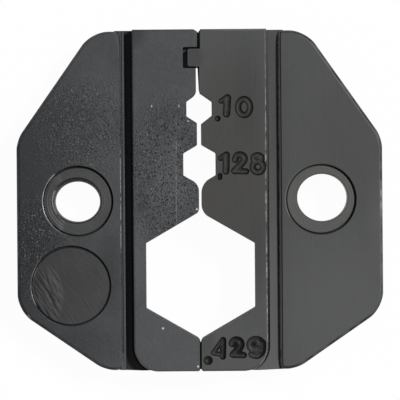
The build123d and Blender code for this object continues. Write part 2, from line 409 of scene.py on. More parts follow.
def nest_cutter(top, flats, height, upper_degrees, lower_degrees):
    """A hexagonal prism that stands on a point, as wide and high as one nest."""
    depth = flats / 2
    bottom = top - height
    cutter = block((-depth, bottom, -CLEAR), (depth, top, PAD_THICKNESS + CLEAR))
    upper, lower = radians(upper_degrees), radians(lower_degrees)
    for side in (-1, 1):
        trim(cutter, (0, top, 0), (side * sin(upper), cos(upper), 0))
        trim(cutter, (0, bottom, 0), (side * sin(lower), -cos(lower), 0))
    corners = [
        (top - depth * tan(upper), tangent(NEST_CORNER_RADIUS, 90 - upper_degrees)),
        (bottom + depth * tan(lower), tangent(NEST_CORNER_RADIUS, 90 - lower_degrees)),
    ]
    for x in (-depth, depth):
        for y, reach in corners:
            bevel(cutter, upright_at(x, y), reach, segments=4)
    return cutter


def rim_layers(depth):
    """From where to where on z the front and back rims of the pad are cut."""
    return (-CLEAR, depth), (PAD_THICKNESS - depth, PAD_THICKNESS + CLEAR)


def plain_half(name, steel, walls, groove_floor, pad_width, floor_bottom, nests, reliefs, lips, rim_depth):
    """What both halves have alike: pad with half nests and the floor of the grooves."""
    half = pad_block(pad_width)
    half.name = name
    half.data.materials.append(steel)
    join(half, web_block(pad_width, floor_bottom, groove_floor))
    for nest in nests:
        cut(half, nest_cutter(*nest), walls)
    for relief, low, high in zip(reliefs, NEST_MIDDLES, [TAB_BOTTOM] + NEST_MIDDLES):
        cut(half, block((-CLEAR, low, -CLEAR), (relief, high, PAD_THICKNESS + CLEAR)))
    for nest, above, below, lip in zip(nests, reliefs, (*reliefs[1:], 0), lips):
        top, _, height, upper_degrees, lower_degrees = nest
        upper_y = top - above * tan(radians(upper_degrees))
        lower_y = top - height + below * tan(radians(lower_degrees))
        bevel(half, upright_at(above, upper_y), tangent(lip[0], 90 - upper_degrees), segments=6)
        bevel(half, upright_at(below, lower_y), tangent(lip[1], 90 - lower_degrees), segments=6)
    for back, front in rim_layers(rim_depth):
        cut(half, block((-CLEAR, TAB_BOTTOM, back), (HEAD_LAND_RELIEF, PAD_TOP + CLEAR, front)))
        cut(half, block((-CLEAR, -PAD_TOP - CLEAR, back), (FOOT_LAND_RELIEF, NEST_MIDDLES[-1], front)))
    return half


def screw_hole(rim, throat, shift):
    """What a screw hole takes out of the flange, with a flared spot face on both faces."""
    floor = PAD_RISE + SPOT_DEPTH
    spot = (SPOT_RADIUS, SPOT_RADIUS, 0, 0)
    wide = (SPOT_RADIUS + FLARE, SPOT_RADIUS + FLARE, *shift)
    edge = (rim[0] + HOLE_EDGE_BREAK, rim[1] + HOLE_EDGE_BREAK, *rim[2:])
    back_rings = [
        (*wide, PAD_RISE - CLEAR),
        (*wide, PAD_RISE),
        (*spot, PAD_RISE + FLARE),
        (*spot, floor),
        (*edge, floor),
        (*rim, floor + HOLE_EDGE_BREAK),
        (*throat, floor + HOLE_RIM_DEPTH),
    ]
    front_rings = [(*ring, PAD_THICKNESS - height) for *ring, height in reversed(back_rings)]
    return ring_body(HOLE_REACH, 0, back_rings + front_rings)


def round_channel(x, y, radius, floor, shift, channel_shade, steel):
    """What the fine channel takes out just inside a round recess, with its inner edge broken."""
    low, top = floor - ROUND_CHANNEL_DEPTH, floor + ROUND_CHANNEL_TOP
    wall = radius - ROUND_CHANNEL_LIP
    groove = ring_body(x, y, [(wall, wall, 0, 0, low), (wall, wall, 0, 0, top)])
    # The channel's bottom is painted black as shade
    groove.data.materials.append(channel_shade)
    outer = radius - ROUND_CHANNEL_WIDTH
    inner = outer - ROUND_CHANNEL_BREAK
    rings = [
        (outer, outer, *shift, low - CLEAR),
        (outer, outer, *shift, floor - ROUND_CHANNEL_BREAK),
        (inner, inner, *shift, floor),
        (inner, inner, *shift, floor + CLEAR),
    ]
    cut(groove, ring_body(x, y, rings), steel)
    return groove


def rounded_bar(low, high, end, radius):
    """A block with its two upright edges at one end on x rounded."""
    bar = block(low, high)
    for y in (low[1], high[1]):
        bevel(bar, upright_at(end, y), radius, segments=4)
    return bar


def add_tab(half):
    """Adds the tab, with rounded tip corners: full size in the rims, a little smaller between them."""
    depth = RIM_DEPTH - CORE_FACE_GAP
    rise = PAD_THICKNESS - depth
    for back, front, inset in ((0, depth, 0), (rise, PAD_THICKNESS, 0), (depth, rise, CORE_INSET)):
        tip = inset - TAB_LENGTH
        low, high = (tip, TAB_BOTTOM + inset, back), (TAB_ROOT, TAB_TOP - inset, front)
        join(half, rounded_bar(low, high, tip, TAB_TIP_RADIUS))
    bevel(half, upright_at(HEAD_LAND_RELIEF, TAB_TOP), TAB_ROOT_RADIUS, segments=4)


def lean_face(half):
    """Fills the tabbed half's face under the tab out to a plane that leans over the meeting plane."""
    end = TABBED_NESTS[0][0] + LEAN_END
    high = (LEAN_REACH, TAB_BOTTOM + LEAN_INTO_TAB, PAD_THICKNESS - RIM_DEPTH)
    wedge = block((-LEAN_REACH, end, RIM_DEPTH), high)
    run = TAB_BOTTOM - end
    trim(wedge, (-LEAN_AT_TAB, TAB_BOTTOM, 0), (-run, -(LEAN_AT_TAB - LEAN_AT_NEST), 0))
    join(half, wedge)


def cut_slot(half):
    """Cuts the slot, with rounded inner corners: wide in the rims, narrower between them."""
    layers = [(back, front, RIM_SIDE_GAP, TAB_LENGTH + RIM_END_GAP) for back, front in rim_layers(RIM_DEPTH)]
    back, front = RIM_DEPTH - CORE_OVERLAP, PAD_THICKNESS - RIM_DEPTH + CORE_OVERLAP
    layers.append((back, front, CORE_SIDE_GAP - CORE_INSET, TAB_LENGTH - CORE_INSET + CORE_END_GAP))
    for back, front, gap, end in layers:
        low, high = (-CLEAR, TAB_BOTTOM - gap, back), (end, TAB_TOP + gap, front)
        cut(half, rounded_bar(low, high, end, SLOT_CORNER_RADIUS))
    bevel(half, upright_at(HEAD_LAND_RELIEF, TAB_TOP + RIM_SIDE_GAP), TAB_ROOT_RADIUS, segments=4)


# Stamped nest sizes on the front of the tabbed half's pad. Each stroke is its width and the points that it
# follows, or an oval's centre and half sizes.
STAMP_DEPTH = 0.22
STAMP_GRAIN = 0.055
SMALL_SIZE = [
    (0.6, [(1.85, 8.12), (1.87, 8.12)]),
    (0.54, [(2.2, 9.86), (2.56, 10.12), (2.84, 10.28)]),
    (0.78, [(2.84, 10.18), (2.79, 9.4), (2.73, 8.6)]),
    (0.66, "oval", (4.5, 9.25), (0.6, 0.8)),
]
MIDDLE_SIZE = [
    (0.5, [(2.03, 2.24), (2.05, 2.46)]),
    (0.56, [(2.1, 4.16), (2.4, 4.42), (2.68, 4.55)]),
    (0.72, [(2.69, 4.5), (2.67, 3.7), (2.64, 2.88)]),
    (0.7, [(3.58, 4.02), (3.66, 4.42), (4.06, 4.55), (4.46, 4.38), (4.52, 3.95), (4.1, 3.5), (3.48, 2.9)]),
    (0.64, [(3.46, 2.88), (4.0, 2.86), (4.66, 2.84)]),
    (0.66, "oval", (5.84, 3.28), (0.53, 0.54)),
    (0.66, "oval", (5.8, 4.14), (0.4, 0.3)),
]
LARGE_SIZE = [
    (0.94, [(0.71, -15.98), (0.73, -15.98)]),
    (0.5, [(2.2, -13.9), (1.7, -14.56), (1.24, -15.22)]),
    (0.48, [(1.24, -15.26), (1.7, -15.36), (2.1, -15.4)]),
    (0.64, [(2.24, -13.95), (2.24, -14.8), (2.2, -15.62)]),
    (0.82, [(3.16, -14.3), (3.26, -14.02), (3.62, -13.96), (3.98, -14.14), (4.0, -14.6), (3.6, -15.05),
            (3.3, -15.36)]),
    (0.66, [(3.16, -15.42), (3.7, -15.46), (4.28, -15.48)]),
    (0.94, "oval", (5.5, -14.46), (0.52, 0.45)),
    (0.74, [(6.18, -14.3), (6.2, -14.95), (5.96, -15.38), (5.5, -15.6), (5.08, -15.4)]),
]


def stroke(width, points, closed):
    """A round bar along a smooth line, set so that it presses a groove of this width into the pad."""
    radius = (width * width / 4 + STAMP_DEPTH * STAMP_DEPTH) / (2 * STAMP_DEPTH)
    height = PAD_THICKNESS + radius - STAMP_DEPTH
    line = bpy.data.curves.new("stroke", "CURVE")
    line.dimensions = "3D"
    line.bevel_depth = radius
    line.bevel_resolution = 6
    line.resolution_u = 8
    line.use_fill_caps = True
    spline = line.splines.new("NURBS")
    spline.points.add(len(points) - 1)
    for point, (x, y) in zip(spline.points, points):
        point.co = (x, y, height, 1)
    spline.use_cyclic_u = closed
    spline.use_endpoint_u = not closed
    spline.order_u = min(4 if closed else 3, len(points))
    pick_up(new_object("stroke", line))
    bpy.ops.object.convert(target="MESH")
    pieces = [bpy.context.object]
    for x, y in [] if closed else [points[0], points[-1]]:
        bpy.ops.object.select_all(action="DESELECT")
        place = (x, y, height)
        bpy.ops.mesh.primitive_uv_sphere_add(segments=24, ring_count=16, radius=radius, location=place)
        bpy.ops.object.transform_apply(location=True)
        pieces.append(bpy.context.object)
    return pieces


def oval_points(centre, half_size, count=12):
    """The corners round an oval that a closed smooth line needs to pass through its outline."""
    swell = 1 / (2 / 3 + cos(2 * pi / count) / 3)
    return [
        (centre[0] + half_size[0] * swell * sin(turn), centre[1] + half_size[1] * swell * cos(turn))
        for turn in (2 * pi * i / count for i in range(count))
    ]


def stamp():
    """The punch for all stamped figures, blended to one soft-edged body."""
    pieces = []
    for width, *line in SMALL_SIZE + MIDDLE_SIZE + LARGE_SIZE:
        if line[0] == "oval":
            pieces += stroke(width, oval_points(*line[1:]), True)
        else:
            pieces += stroke(width, line[0], False)
    pick_up(pieces[0])
    for piece in pieces:
        piece.select_set(True)
    bpy.ops.object.join()
    punch = bpy.context.object
    apply_modifier(punch, "REMESH", mode="VOXEL", voxel_size=STAMP_GRAIN)
    apply_modifier(punch, "SMOOTH", factor=0.5, iterations=2)
    return punch


def finish_shape(half, side):
    """Puts a half on its side of the frame, in metres, with smooth shading on its rounded edges."""
    edit_all(half)
    bpy.ops.mesh.remove_doubles(threshold=MERGE_WITHIN)
    bpy.ops.transform.resize(value=(side * MM, MM, MM), center_override=(0, 0, 0))
    bpy.ops.mesh.normals_make_consistent(inside=False)
    bpy.ops.object.mode_set(mode="OBJECT")
    bpy.ops.object.shade_smooth_by_angle(angle=radians(SMOOTH_DEGREES))
    apply_modifier(half, "WEIGHTED_NORMAL", keep_sharp=True, weight=EVEN_SHADING)


def cut_screw_hole(half, hole, shift, channel_shade, spot_face):
    """Cuts the screw hole, its spot faces and the fine channel round the front one."""
    cut(half, hole, spot_face)
    cut(half, round_channel(HOLE_REACH, 0, SPOT_RADIUS, FLANGE_FRONT - SPOT_DEPTH, shift, channel_shade, spot_face))


def cut_field(half, channel_shade, field_floor):
    """Cuts the sunk field and the fine channel round it."""
    outline = (FIELD_RADIUS, FIELD_RADIUS, 0, 0)
    wide = (FIELD_RADIUS + FLARE, FIELD_RADIUS + FLARE, *SLOTTED_FLARE_SHIFT)
    floor = FLANGE_FRONT - FIELD_DEPTH
    rings = [
        (*outline, floor),
        (*outline, FLANGE_FRONT - FLARE),
        (*wide, FLANGE_FRONT),
        (*wide, FLANGE_FRONT + CLEAR),
    ]
    x, y = FIELD_REACH, -FIELD_DROP
    cut(half, ring_body(x, y, rings), field_floor)
    cut(half, round_channel(x, y, FIELD_RADIUS, floor, SLOTTED_CHANNEL_SHIFT, channel_shade, field_floor))


def tabbed_die_half(steel, walls, groove_floor, channel_shade, spot_face, figures):
    """The half with the tab and the stamped figures, to the right."""
    shape = (TABBED_PAD_WIDTH, TABBED_FLOOR_BOTTOM, TABBED_NESTS, TABBED_FACE_RELIEFS, TABBED_LIPS)
    half = plain_half("tabbed_half", steel, walls, groove_floor, *shape, RIM_DEPTH - CORE_FACE_GAP)
    add_tab(half)
    lean_face(half)
    plate = flange_plate(TABBED_FLANGE_START)
    low = (TABBED_FLANGE_START + TABBED_EDGE_CUT, -FLANGE_TOP - CLEAR, FLANGE_FRONT - EDGE_CUT_DEPTH)
    cut(plate, block(low, (low[0] + EDGE_CUT_WIDTH, FLANGE_TOP + CLEAR, FLANGE_FRONT + CLEAR)))
    join(half, plate)
    hole = screw_hole(TABBED_RIM, TABBED_THROAT, TABBED_FLARE_SHIFT)
    cut_screw_hole(half, hole, TABBED_CHANNEL_SHIFT, channel_shade, spot_face)
    cut(half, stamp(), figures)
    finish_shape(half, 1)
    return half


def slotted_die_half(steel, walls, groove_floor, channel_shade, spot_face, field_floor):
    """The half with the slot and the sunk field, to the left."""
    shape = (SLOTTED_PAD_WIDTH, SLOTTED_FLOOR_BOTTOM, SLOTTED_NESTS, SLOTTED_FACE_RELIEFS, SLOTTED_LIPS)
    half = plain_half("slotted_half", steel, walls, groove_floor, *shape, RIM_DEPTH)
    cut_slot(half)
    trim(half, HEAD_CUT_PLACE, HEAD_CUT_FACING)
    join(half, ledge())
    join(half, flange_plate(GROOVE_REACH))
    hole = screw_hole(SLOTTED_RIM, SLOTTED_THROAT, SLOTTED_FLARE_SHIFT)
    cut_screw_hole(half, hole, SLOTTED_CHANNEL_SHIFT, channel_shade, spot_face)
    cut_field(half, channel_shade, field_floor)
    finish_shape(half, -1)
    return half


def feed(tree, socket, value):
    """Feeds a socket with a plain value or with another node's output."""
    if isinstance(value, bpy.types.NodeSocket):
        tree.links.new(value, socket)
    else:
        socket.default_value = value


def add_node(tree, kind, inputs=None, **settings):
    """Adds a node with its settings and inputs."""
    new = tree.nodes.new("ShaderNode" + kind)
    for name, value in settings.items():
        setattr(new, name, value)
    for socket, value in (inputs or {}).items():
        feed(tree, new.inputs[socket], value)
    return new


def maths(tree, operation, *values):
    """One step of arithmetic."""
    return add_node(tree, "Math", dict(enumerate(values)), operation=operation).outputs[0]


def vector_maths(tree, operation, *values):
    """One step of arithmetic on vectors. A length comes out as a number."""
    outputs = add_node(tree, "VectorMath", dict(enumerate(values)), operation=operation).outputs
    return outputs["Value" if operation == "LENGTH" else "Vector"]


def enlarge(tree, vector, scale):
    """A vector made longer or shorter."""
    return add_node(tree, "VectorMath", {0: vector, "Scale": scale}, operation="SCALE").outputs["Vector"]


def mix_colour(tree, share, first, second):
    """A colour between two others."""
    return add_node(tree, "Mix", {0: share, 6: first, 7: second}, data_type="RGBA").outputs[2]


def ramp(tree, value, start, end, low=0.0, high=1.0, **settings):
    """Runs from low to high while a value runs from start to end, and stays level outside."""
    inputs = {"Value": value, "From Min": start, "From Max": end, "To Min": low, "To Max": high}
    return add_node(tree, "MapRange", inputs, **settings).outputs[0]


def noise(tree, vector, scale, detail):
    """Soft noise, as a number under "Fac" and as a colour under "Color"."""
    return add_node(tree, "TexNoise", {"Vector": vector, "Scale": scale, "Detail": detail}).outputs


def start_effect(name, inputs, outputs):
    """Starts a shader node group with named inputs and outputs."""
    tree = bpy.data.node_groups.new(name, "ShaderNodeTree")
    for in_out, sockets in (("INPUT", inputs), ("OUTPUT", outputs)):
        for label, kind in sockets.items():
            tree.interface.new_socket(label, in_out=in_out, socket_type="NodeSocket" + kind)
    return tree, tree.nodes.new("NodeGroupInput").outputs, tree.nodes.new("NodeGroupOutput").inputs


# Uneven blackening: how much finer the mottling is than the clouds, and its share of the tone
MOTTLE_FINENESS = 9
MOTTLE_SHARE = 0.4

# Casting skin: how far its pebbles drift, how they stretch on x, y and z, and how high they and the
# wrinkles between them stand
PEBBLE_DRIFT = 0.8
PEBBLE_STRETCH = (1, 0.8, 1)
PEBBLE_HEIGHT = 0.5
WRINKLE_HEIGHT = 0.8

# Scratches across the brushing: their slant, and their width and length in millimetres
SCRATCH_DEGREES = 28
SCRATCH_SIZE = (0.14, 5, 1)

# How slowly the tool's rings change outwards
RING_DRIFT = 0.02


def make_oxide_tone():
    """Blackening that lies unevenly: soft clouds with finer mottling in them."""
    inputs = {"Position": "Vector", "Deep": "Color", "Pale": "Color", "Cloud Size": "Float"}
    tree, given, out = start_effect("oxide tone", inputs, {"Color": "Color"})
    scale = maths(tree, "DIVIDE", 1, given["Cloud Size"])
    clouds = noise(tree, given["Position"], scale, detail=3)["Fac"]
    mottle = noise(tree, given["Position"], maths(tree, "MULTIPLY", scale, MOTTLE_FINENESS), detail=2)["Fac"]
    clouds = maths(tree, "MULTIPLY", clouds, 1 - MOTTLE_SHARE)
    both = maths(tree, "MULTIPLY_ADD", mottle, MOTTLE_SHARE, clouds)
    share = ramp(tree, both, start=0.32, end=0.68)
    tree.links.new(mix_colour(tree, share, given["Deep"], given["Pale"]), out["Color"])
    return tree


def make_soft_patch():
    """A rounded patch with a soft edge, for what is found in one place only."""
    inputs = {"Position": "Vector", "Centre": "Vector", "Half Size": "Vector", "Edge": "Float"}
    tree, given, out = start_effect("soft patch", inputs, {"Mask": "Float"})
    offset = vector_maths(tree, "SUBTRACT", given["Position"], given["Centre"])
    reach = vector_maths(tree, "LENGTH", vector_maths(tree, "DIVIDE", offset, given["Half Size"]))
    inside = maths(tree, "SUBTRACT", 1, given["Edge"])
    outside = maths(tree, "ADD", 1, given["Edge"])
    mask = ramp(tree, reach, inside, outside, low=1, high=0, interpolation_type="SMOOTHSTEP")
    tree.links.new(mask, out["Mask"])
    return tree


def make_pebbled_skin():
    """The leathery skin of a casting: small pebbles that run together in wrinkles."""
    inputs = {"Position": "Vector", "Pebble Size": "Float"}
    tree, given, out = start_effect("pebbled skin", inputs, {"Height": "Float"})
    drift = noise(tree, given["Position"], scale=0.7, detail=1)["Color"]
    moved = vector_maths(tree, "ADD", given["Position"], enlarge(tree, drift, PEBBLE_DRIFT))
    stretched = vector_maths(tree, "MULTIPLY", moved, PEBBLE_STRETCH)
    scale = maths(tree, "DIVIDE", 1, given["Pebble Size"])
    cells = {"Vector": stretched, "Scale": scale, "Smoothness": 0.6, "Randomness": 0.9}
    distance = add_node(tree, "TexVoronoi", cells, feature="SMOOTH_F1").outputs["Distance"]
    pebbles = maths(tree, "MULTIPLY", maths(tree, "SUBTRACT", 1, distance), PEBBLE_HEIGHT)
    wrinkles = noise(tree, stretched, scale, detail=2)["Fac"]
    tree.links.new(maths(tree, "MULTIPLY_ADD", wrinkles, WRINKLE_HEIGHT, pebbles), out["Height"])
    return tree


def make_brushing():
    """Fine grinding lines along y, and a few longer scratches across them."""
    inputs = {"Position": "Vector", "Spacing": "Float", "Length": "Float"}
    tree, given, out = start_effect("brushing", inputs, {"Height": "Float", "Scratch": "Float"})
    size = add_node(tree, "CombineXYZ", {"X": given["Spacing"], "Y": given["Length"], "Z": given["Length"]})
    lines = vector_maths(tree, "DIVIDE", given["Position"], size.outputs[0])
    tree.links.new(noise(tree, lines, scale=1, detail=3)["Fac"], out["Height"])
    slant = {"Vector": given["Position"], "Rotation": (0, 0, radians(SCRATCH_DEGREES))}
    turned = add_node(tree, "Mapping", slant).outputs[0]
    strokes = noise(tree, vector_maths(tree, "DIVIDE", turned, SCRATCH_SIZE), scale=1, detail=0)["Fac"]
    tree.links.new(ramp(tree, strokes, start=0.74, end=0.8), out["Scratch"])
    return tree


def make_worn_edge_and_highlight():
    """Rubbed steel on edges that lie between a flat face and an upright wall, broken up along them; where
    the places lie on edges that face the lamp, it is painted highlight too.
    """
    inputs = {"Position": "Vector", "Normal": "Vector", "Gap Size": "Float", "Amount": "Float"}
    tree, given, out = start_effect("worn edge", inputs, {"Mask": "Float"})
    upward = maths(tree, "ABSOLUTE", add_node(tree, "SeparateXYZ", {0: given["Normal"]}).outputs["Z"])
    above_wall = ramp(tree, upward, start=0.45, end=0.62)
    below_face = ramp(tree, upward, start=0.97, end=0.88)
    band = maths(tree, "MULTIPLY", above_wall, below_face)
    gaps = noise(tree, given["Position"], maths(tree, "DIVIDE", 1, given["Gap Size"]), detail=3)["Fac"]
    mask = maths(tree, "MULTIPLY", band, ramp(tree, gaps, start=0.4, end=0.62))
    tree.links.new(maths(tree, "MULTIPLY", mask, given["Amount"]), out["Mask"])
    return tree


def make_turning_marks():
    """The rings that a spot facing tool leaves round a hole."""
    inputs = {"Position": "Vector", "Centre": "Vector", "Pitch": "Float"}
    tree, given, out = start_effect("turning marks", inputs, {"Height": "Float"})
    offset = vector_maths(tree, "SUBTRACT", given["Position"], given["Centre"])
    reach = vector_maths(tree, "LENGTH", vector_maths(tree, "MULTIPLY", offset, (1, 1, 0)))
    rings = maths(tree, "DIVIDE", reach, given["Pitch"])
    place = add_node(tree, "CombineXYZ", {"X": rings, "Y": maths(tree, "MULTIPLY", reach, RING_DRIFT)})
    tree.links.new(noise(tree, place.outputs[0], scale=1, detail=2)["Fac"], out["Height"])
    return tree


OXIDE_TONE = make_oxide_tone()
SOFT_PATCH = make_soft_patch()
PEBBLED_SKIN = make_pebbled_skin()
BRUSHING = make_brushing()
WORN_EDGE_AND_HIGHLIGHT = make_worn_edge_and_highlight()
TURNING_MARKS = make_turning_marks()

# Pale steel for rubbed edges, painted highlights and glints
RUBBED_STEEL_AND_HIGHLIGHT = (0.5, 0.5, 0.5, 1)
RUBBED_METALLIC = 0.4
RUBBED_ROUGHNESS = 0.34
# Black for painted shade: channel bottoms, figures, edges facing away from the lamp, and the foot of a wall
SHADE_BLACK = (0.003, 0.003, 0.003, 1)
DULL_BLACK = (0.009, 0.010, 0.011, 1)

# Blackening of each steel: its deeper and its paler colour, and the size of its clouds in millimetres
CAST_TONES = ((0.037, 0.039, 0.043, 1), (0.053, 0.056, 0.060, 1), 5.0)
BRUSHED_TONES = ((0.035, 0.036, 0.037, 1), (0.043, 0.044, 0.045, 1), 6.0)
TABBED_GROOVE_TONES = ((0.062, 0.062, 0.062, 1), (0.07, 0.07, 0.07, 1), 3.0)
# The slotted half's groove floor is painted near black as shade, as the pad stands between it and the lamp
SLOTTED_GROOVE_SHADE_TONES = ((0.013, 0.013, 0.014, 1), (0.018, 0.018, 0.019, 1), 3.0)
TABBED_RING_TONES = ((0.052, 0.052, 0.05, 1), (0.068, 0.068, 0.066, 1), 2.5)
SLOTTED_RING_TONES = ((0.024, 0.024, 0.025, 1), (0.04, 0.041, 0.042, 1), 2.5)
# The bottoms of the fine channels are painted black as shade
CHANNEL_SHADE_TONES = (SHADE_BLACK, (0.008, 0.008, 0.008, 1), 1.0)
NEST_TONES = ((0.02, 0.02, 0.02, 1), (0.04, 0.04, 0.04, 1), 2.0)
FIGURE_TONES = ((0.014, 0.014, 0.012, 1), (0.036, 0.036, 0.032, 1), 0.5)
FIELD_TONES = ((0.026, 0.026, 0.027, 1), (0.04, 0.04, 0.041, 1), 2.2)

# Places have a centre, half sizes, a soft edge and an amount. They go through the whole thickness.
PLACE_MIDDLE = 5
PLACE_HALF_DEPTH = 90

# Finish of the slotted half: blackened casting skin
# Painted glints on the skin's highest pebble tips
CAST_TIP_GLINT = (0.12, 0.122, 0.126, 1)
CAST_BRIGHT = (0.082, 0.085, 0.091, 1)
# Painted shade in the pits of the skin, and of the field's wrinkles
CAST_PIT_SHADE = (0.007, 0.007, 0.008, 1)
CAST_GLINT_HEIGHTS = (0.78, 0.9)
CAST_PIT_SHADE_HEIGHTS = (0.62, 0.42)
FIELD_PIT_SHADE_HEIGHTS = (0.6, 0.4)
DULL_ON_SLOTTED = [
    ((-19.0, -2.0), (6.2, 20.0), 0.9, 0.95),
    ((-13.5, -14.5), (3.8, 2.8), 0.8, 0.65),
    ((-9.3, -7.5), (1.4, 3.8), 0.8, 0.6),
    ((-6.3, 16.6), (0.9, 1.2), 0.7, 0.5),
]
BRIGHT_ON_SLOTTED = [
    ((-2.4, -14.0), (3.8, 5.5), 0.6, 0.35),
    ((-6.1, -5.6), (0.9, 3.6), 0.8, 0.5),
    ((-2.8, 2.2), (2.3, 3.6), 0.7, 0.75),
]
LEATHERY_PLACES = [
    ((-11.6, 7.4), (4.4, 4.4), 0.6, 1.0),
    ((-15.9, -4.6), (2.7, 4.6), 0.6, 1.1),
    ((-3.0, 2.2), (3.8, 7.2), 0.5, 1.5),
]
# Painted glints: small pale specks and streaks where the casting skin catches the lamp
GLINTS_ON_SLOTTED = [
    ((-4.72, 9.4), (0.05, 0.12), 0.5, 0.8),
    ((-2.0, 9.4), (0.05, 0.14), 0.5, 0.6),
    ((-1.1, 7.9), (0.12, 0.06), 0.5, 0.7),
    ((-2.3, 5.4), (0.04, 0.5), 0.5, 0.3),
    ((-0.28, -0.9), (0.1, 0.1), 0.5, 1.0),
    ((-2.32, -0.3), (0.04, 4.4), 0.5, 0.16),
    ((-3.75, -12.75), (0.1, 0.1), 0.5, 1.0),
    ((-0.28, -16.58), (0.1, 0.1), 0.5, 1.0),
]
RINGED_PLACES = [((-14.9, -0.5), (1.2, 3.0), 0.5, 2.8)]
WRINKLED_PLACES = [((-15.4, -9.6), (1.3, 2.4), 0.5, 1.0)]
WRINKLE_DEGREES = -58
WRINKLE_STRETCH = (6, 1, 1)
DULL_ON_FIELD = [((-16.6, -8.6), (3.6, 5.0), 0.9, 0.5)]
# Rubbed edges, and painted highlight on edges that face the lamp: the flange's inner edge and the left sides
# of the spot face and field
WEAR_AND_HIGHLIGHT_ON_SLOTTED = [
    ((-7.9, 0.0), (0.4, 4.6), 0.4, 2.0),
    ((-15.7, 0.1), (0.5, 2.2), 0.5, 0.9),
    ((-15.3, 0.0), (0.5, 2.0), 0.5, 1.0),
    ((-14.75, 0.3), (0.45, 2.2), 0.4, 3.0),
    ((-16.7, -8.8), (0.9, 3.0), 0.5, 0.9),
]

# Finish of the tabbed half: blackened and finely brushed, warmer on the pad
BRUSHED_WARM = (0.026, 0.025, 0.022, 1)
BRUSHED_BRIGHT = (0.064, 0.065, 0.067, 1)
WARM_ON_TABBED = [((3.2, 3.0), (4.0, 11.0), 0.5, 0.95), ((15.0, 6.5), (3.4, 6.0), 0.6, 0.35)]
BRIGHT_ON_TABBED = [
    ((13.8, -13.0), (7.0, 9.0), 0.6, 0.55),
    ((4.0, -15.5), (5.0, 3.4), 0.7, 0.35),
    ((17.8, -4.6), (1.1, 5.5), 0.6, 0.4),
    ((4.74, -15.1), (0.12, 0.5), 0.5, 1.0),
]
# The first place is painted shade along the flange's inner edge; the others darken the steel in places
SHADE_AND_DARKER_PATCHES_ON_TABBED = [
    ((8.1, 0.0), (0.2, 19.0), 0.25, 0.6),
    ((5.0, 10.8), (1.5, 4.8), 0.7, 0.4),
    ((5.8, -5.2), (0.9, 3.6), 0.7, 0.35),
    ((0.7, -14.2), (0.7, 1.6), 0.6, 0.4),
    ((-0.5, 14.25), (0.9, 1.1), 0.4, 0.55),
]
# Rubbed edges, and painted highlight on edges that face the lamp: the pad's outer edge and the flange's
# outer edge
WEAR_AND_HIGHLIGHT_ON_TABBED = [
    ((6.6, 8.0), (0.4, 11.0), 0.3, 0.9),
    ((6.0, -11.0), (1.2, 8.0), 0.3, 1.6),
    ((18.1, 0.3), (0.4, 2.2), 0.5, 0.45),
]

# The tabbed half's groove is paler towards its lower end, and painted shade darkens it along the foot of the
# flange's wall
GROOVE_PALE = (0.1, 0.1, 0.101, 1)
PALE_IN_GROOVE = [((7.2, -13.0), (3.0, 12.0), 0.6, 0.9)]
SHADE_IN_GROOVE = [((7.97, -9.0), (0.16, 26.0), 0.4, 0.9)]

# Painted shade in the deepest places of the figures
SHADE_IN_FIGURES = [
    ((2.0, 8.1), (0.22, 0.4), 0.5, 1.0),
    ((2.1, 2.3), (0.3, 0.6), 0.5, 1.0),
    ((2.3, -14.7), (0.34, 1.4), 0.4, 1.0),
    ((3.8, -14.5), (0.7, 1.0), 0.5, 1.0),
    ((6.25, -14.6), (0.5, 1.4), 0.4, 1.0),
    ((5.3, -14.3), (0.3, 0.3), 0.5, 0.9),
    ((1.0, -16.0), (0.4, 0.4), 0.5, 0.9),
]


